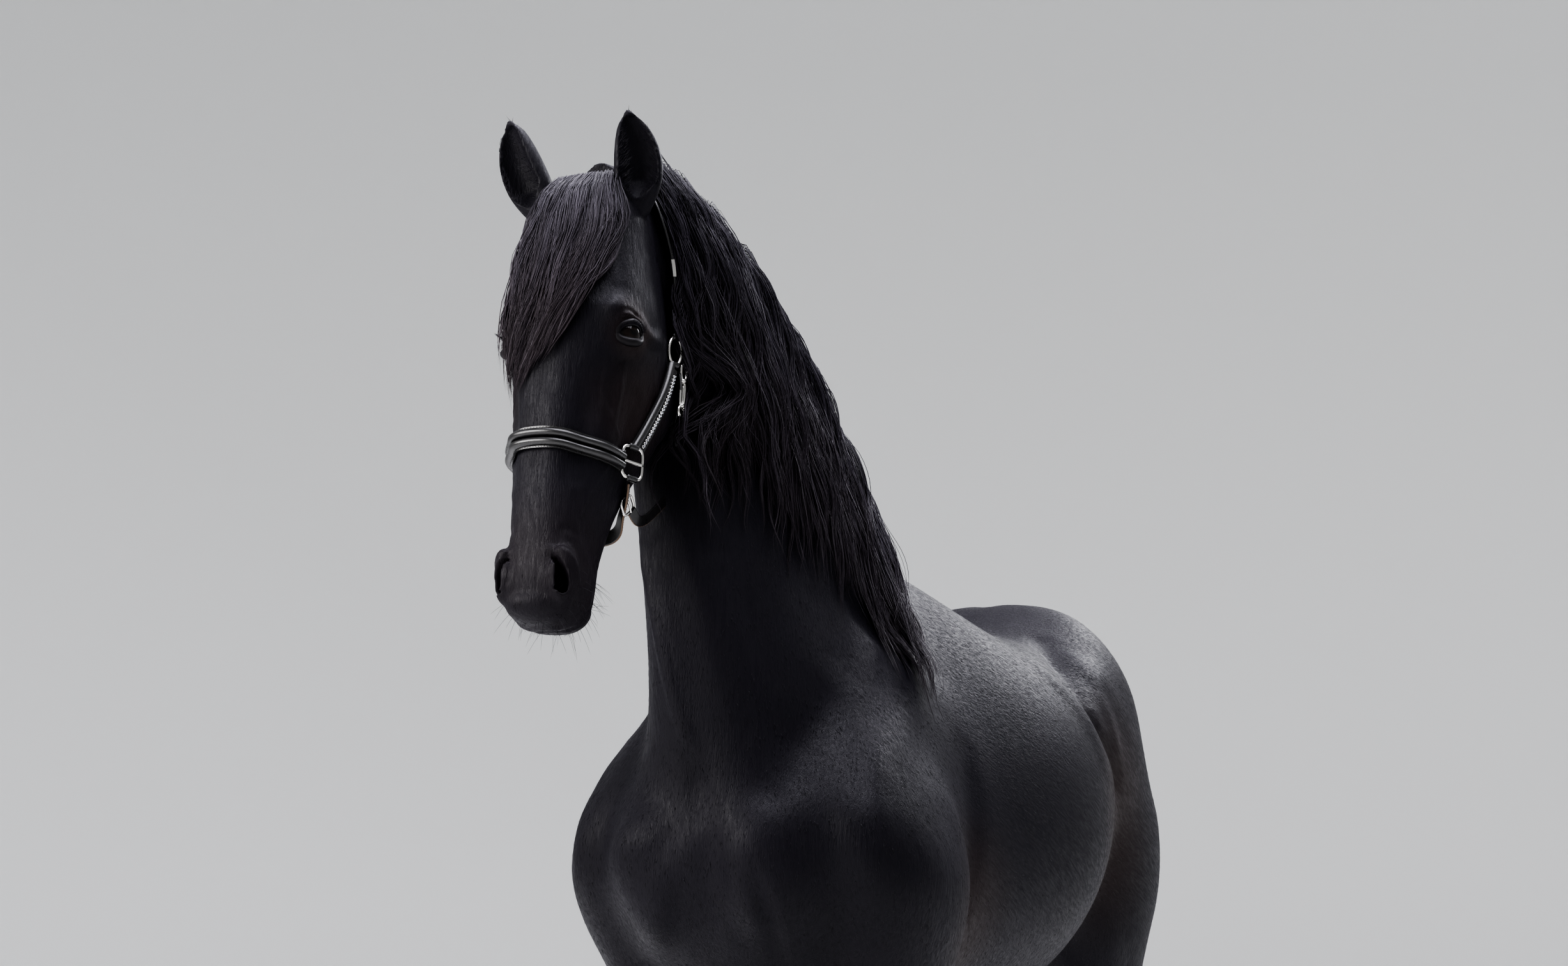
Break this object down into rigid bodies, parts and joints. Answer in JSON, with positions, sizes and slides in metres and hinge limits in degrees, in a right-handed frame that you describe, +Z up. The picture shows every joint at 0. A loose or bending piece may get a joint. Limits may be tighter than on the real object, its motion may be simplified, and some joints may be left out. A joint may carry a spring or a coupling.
{
  "type": "friesian horse",
  "caption": "Life-size black horse standing square with its head high, long wavy mane, tail and feathered fetlocks, wearing a leather head collar with metal rings.",
  "frame": {"origin": "on the floor, under the middle of the bounding box", "axes": "the horse looks along -Y, its left side is +X, +Z is up"},
  "size_m": [0.6504, 2.0778, 2.1349],
  "materials": {
    "coat": "glossy short black hair, with longer locks on mane, tail and fetlocks",
    "eye": "wet dark brown",
    "hoof": "dull dark horn",
    "strap": "polished black leather",
    "fitting": "polished metal"
  },
  "bodies": {
    "root": {"head": "coat", "neck": "coat", "torso": "coat", "tail": "coat", "ear_left": "coat", "ear_right": "coat", "leg_front_left": "coat", "leg_front_right": "coat", "leg_hind_left": "coat", "leg_hind_right": "coat", "eye_left": "eye", "eye_right": "eye", "hoof_front_left": "hoof", "hoof_front_right": "hoof", "hoof_hind_left": "hoof", "hoof_hind_right": "hoof", "noseband": "strap", "chin_strap": "strap", "crownpiece": "strap", "throat_strap": "strap", "cheekpiece_left": "strap", "cheekpiece_right": "strap", "ring_cheek_left": "fitting", "ring_cheek_right": "fitting", "ring_nose_left": "fitting", "ring_nose_right": "fitting", "snap_hook": "fitting"}
  },
  "joints": []
}
